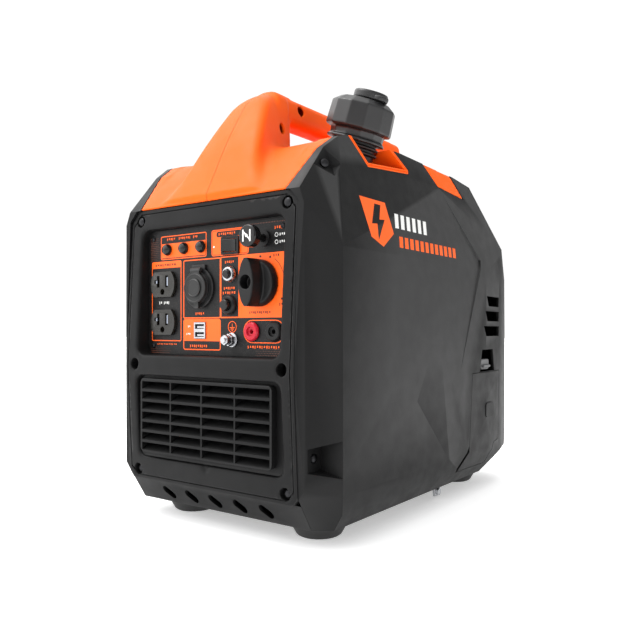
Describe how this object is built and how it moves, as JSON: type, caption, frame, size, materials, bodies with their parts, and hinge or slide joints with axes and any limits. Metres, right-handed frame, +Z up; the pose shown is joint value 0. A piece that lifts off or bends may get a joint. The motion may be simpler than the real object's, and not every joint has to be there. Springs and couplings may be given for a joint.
{
  "type": "inverter generator",
  "caption": "Portable suitcase-style inverter generator with a carrying handle, control panel with sockets, intake grille and fuel cap.",
  "frame": {"origin": "on the ground, under the middle of the housing", "axes": "+Z up, the control panel faces -Y, +X to the right of a person facing the panel"},
  "size_m": [0.2965, 0.454, 0.4505],
  "materials": {
    "charcoal_shell": "fine-grained matte moulding",
    "black_plastic": "satin moulding",
    "gloss_black": "glossy moulding",
    "soft_black": "dull soft rubber",
    "orange_plastic": "smooth semi-gloss moulding",
    "red_plastic": "glossy moulding",
    "grey_latch": "satin moulding",
    "bright_steel": "bright plated steel",
    "dark_steel": "heat-darkened steel",
    "alloy": "machined and die-cast aluminium",
    "cast_alloy": "rough die-cast aluminium",
    "winding": "varnished copper winding on laminations"
  },
  "bodies": {
    "machine": {"side_cover_right": "charcoal_shell", "side_cover_left": "charcoal_shell", "front_bezel": "charcoal_shell", "intake_grille": "charcoal_shell", "control_panel": "black_plastic", "outlet_upper": "gloss_black", "outlet_lower": "gloss_black", "dc_socket": "black_plastic", "usb_port": "bright_steel", "lamp_output": "gloss_black", "lamp_overload": "gloss_black", "lamp_oil": "gloss_black", "reset_breaker": "bright_steel", "dc_breaker": "black_plastic", "ground_terminal": "bright_steel", "jack_red": "red_plastic", "jack_black": "black_plastic", "handle_right": "orange_plastic", "handle_left": "orange_plastic", "filler_recess": "orange_plastic", "neck_grommet": "soft_black", "fuel_tank": "black_plastic", "base_tray": "black_plastic", "foot_front_right": "soft_black", "foot_front_left": "soft_black", "foot_rear_right": "soft_black", "foot_rear_left": "soft_black", "drain_tab": "bright_steel", "rear_panel": "charcoal_shell", "spark_arrestor": "dark_steel", "muffler": "dark_steel", "crankcase": "cast_alloy", "cylinder": "alloy", "valve_cover": "dark_steel", "spark_plug": "soft_black", "stator": "winding", "recoil_housing": "black_plastic", "carburettor": "alloy", "air_filter_box": "black_plastic", "inverter_module": "alloy", "engine_bed": "dark_steel"},
    "oil_door": {"oil_door": "charcoal_shell"},
    "oil_door_latch": {"oil_door_latch": "grey_latch"},
    "service_door": {"service_door": "charcoal_shell"},
    "service_door_latch": {"service_door_latch": "grey_latch"},
    "dc_socket_cap": {"dc_socket_cap": "soft_black"},
    "eco_rocker": {"eco_rocker": "gloss_black"},
    "reset_button": {"reset_button": "black_plastic"},
    "dc_breaker_button": {"dc_breaker_button": "black_plastic"},
    "choke_knob": {"choke_knob": "black_plastic"},
    "power_knob": {"power_knob": "black_plastic"},
    "cap_gasket": {"cap_gasket": "soft_black"},
    "fuel_cap": {"fuel_cap": "black_plastic"},
    "vent_knob": {"vent_knob": "black_plastic"},
    "crank": {"crankshaft": "bright_steel", "rotor_fan": "cast_alloy"},
    "recoil_grip": {"recoil_grip": "black_plastic"},
    "recoil_pulley": {"recoil_pulley": "black_plastic"},
    "oil_dipstick": {"oil_dipstick": "orange_plastic"}
  },
  "joints": [
    {"name": "oil_door_hinge", "type": "hinge", "parent": "machine", "child": "oil_door", "pos_m": [0.1463, 0.09, 0.0309], "axis": [0, 1, 0], "range_deg": [0, 90]},
    {"name": "oil_door_latch_slide", "type": "slide", "parent": "machine", "child": "oil_door_latch", "axis": [0, 0, 1], "range_m": [0, 0.008]},
    {"name": "service_door_hinge", "type": "hinge", "parent": "machine", "child": "service_door", "pos_m": [-0.1463, 0.028, 0.0849], "axis": [0, -1, 0], "range_deg": [0, 90]},
    {"name": "service_door_latch_slide", "type": "slide", "parent": "machine", "child": "service_door_latch", "axis": [0, 0, 1], "range_m": [0, 0.006]},
    {"name": "dc_cap_hinge", "type": "hinge", "parent": "machine", "child": "dc_socket_cap", "pos_m": [-0.019, -0.2084, 0.2575], "axis": [-1, 0, 0], "range_deg": [0, 110]},
    {"name": "eco_rocker_tilt", "type": "hinge", "parent": "machine", "child": "eco_rocker", "pos_m": [0.0232, -0.201, 0.279], "axis": [0, 0, -1], "range_deg": [0, 9.6]},
    {"name": "reset_button_press", "type": "slide", "parent": "machine", "child": "reset_button", "axis": [0, 1, 0], "range_m": [0, 0.002], "stiffness_N_per_m": 600},
    {"name": "dc_breaker_press", "type": "slide", "parent": "machine", "child": "dc_breaker_button", "axis": [0, 1, 0], "range_m": [0, 0.0025], "stiffness_N_per_m": 600},
    {"name": "choke_slide", "type": "slide", "parent": "machine", "child": "choke_knob", "axis": [0, 1, 0], "range_m": [0, 0.011]},
    {"name": "power_knob_turn", "type": "hinge", "parent": "machine", "child": "power_knob", "pos_m": [0.0605, -0.203, 0.2415], "axis": [0, 1, 0], "range_deg": [0, 110]},
    {"name": "cap_lift", "type": "slide", "parent": "machine", "child": "cap_gasket", "axis": [0.309, 0, 0.9511], "range_m": [0, 0.06]},
    {"name": "fuel_cap_turn", "type": "hinge", "parent": "cap_gasket", "child": "fuel_cap", "pos_m": [0.0877, -0.08, 0.4067], "axis": [0.309, 0, 0.9511], "continuous": true},
    {"name": "vent_knob_turn", "type": "hinge", "parent": "fuel_cap", "child": "vent_knob", "pos_m": [0.09246, -0.08, 0.40515], "axis": [0.309, 0, 0.9511], "range_deg": [0, 90]},
    {"name": "crank_spin", "type": "hinge", "parent": "machine", "child": "crank", "pos_m": [0, -0.076, 0.1435], "axis": [0, 1, 0], "continuous": true},
    {"name": "recoil_pull", "type": "slide", "parent": "machine", "child": "recoil_grip", "axis": [-1, 0, 0], "range_m": [0, 0.5], "stiffness_N_per_m": 15},
    {"name": "recoil_pulley_spin", "type": "hinge", "parent": "machine", "child": "recoil_pulley", "pos_m": [0, -0.131, 0.1435], "axis": [0, -1, 0], "range_deg": [0, 870]},
    {"name": "oil_dipstick_turn", "type": "hinge", "parent": "machine", "child": "oil_dipstick", "pos_m": [0.095, 0.11, 0.0975], "axis": [1, 0, 0], "continuous": true}
  ],
  "couplings": [
    {"joint": "recoil_pulley_spin", "follows": "recoil_pull", "rad_per_m": 30.3}
  ]
}
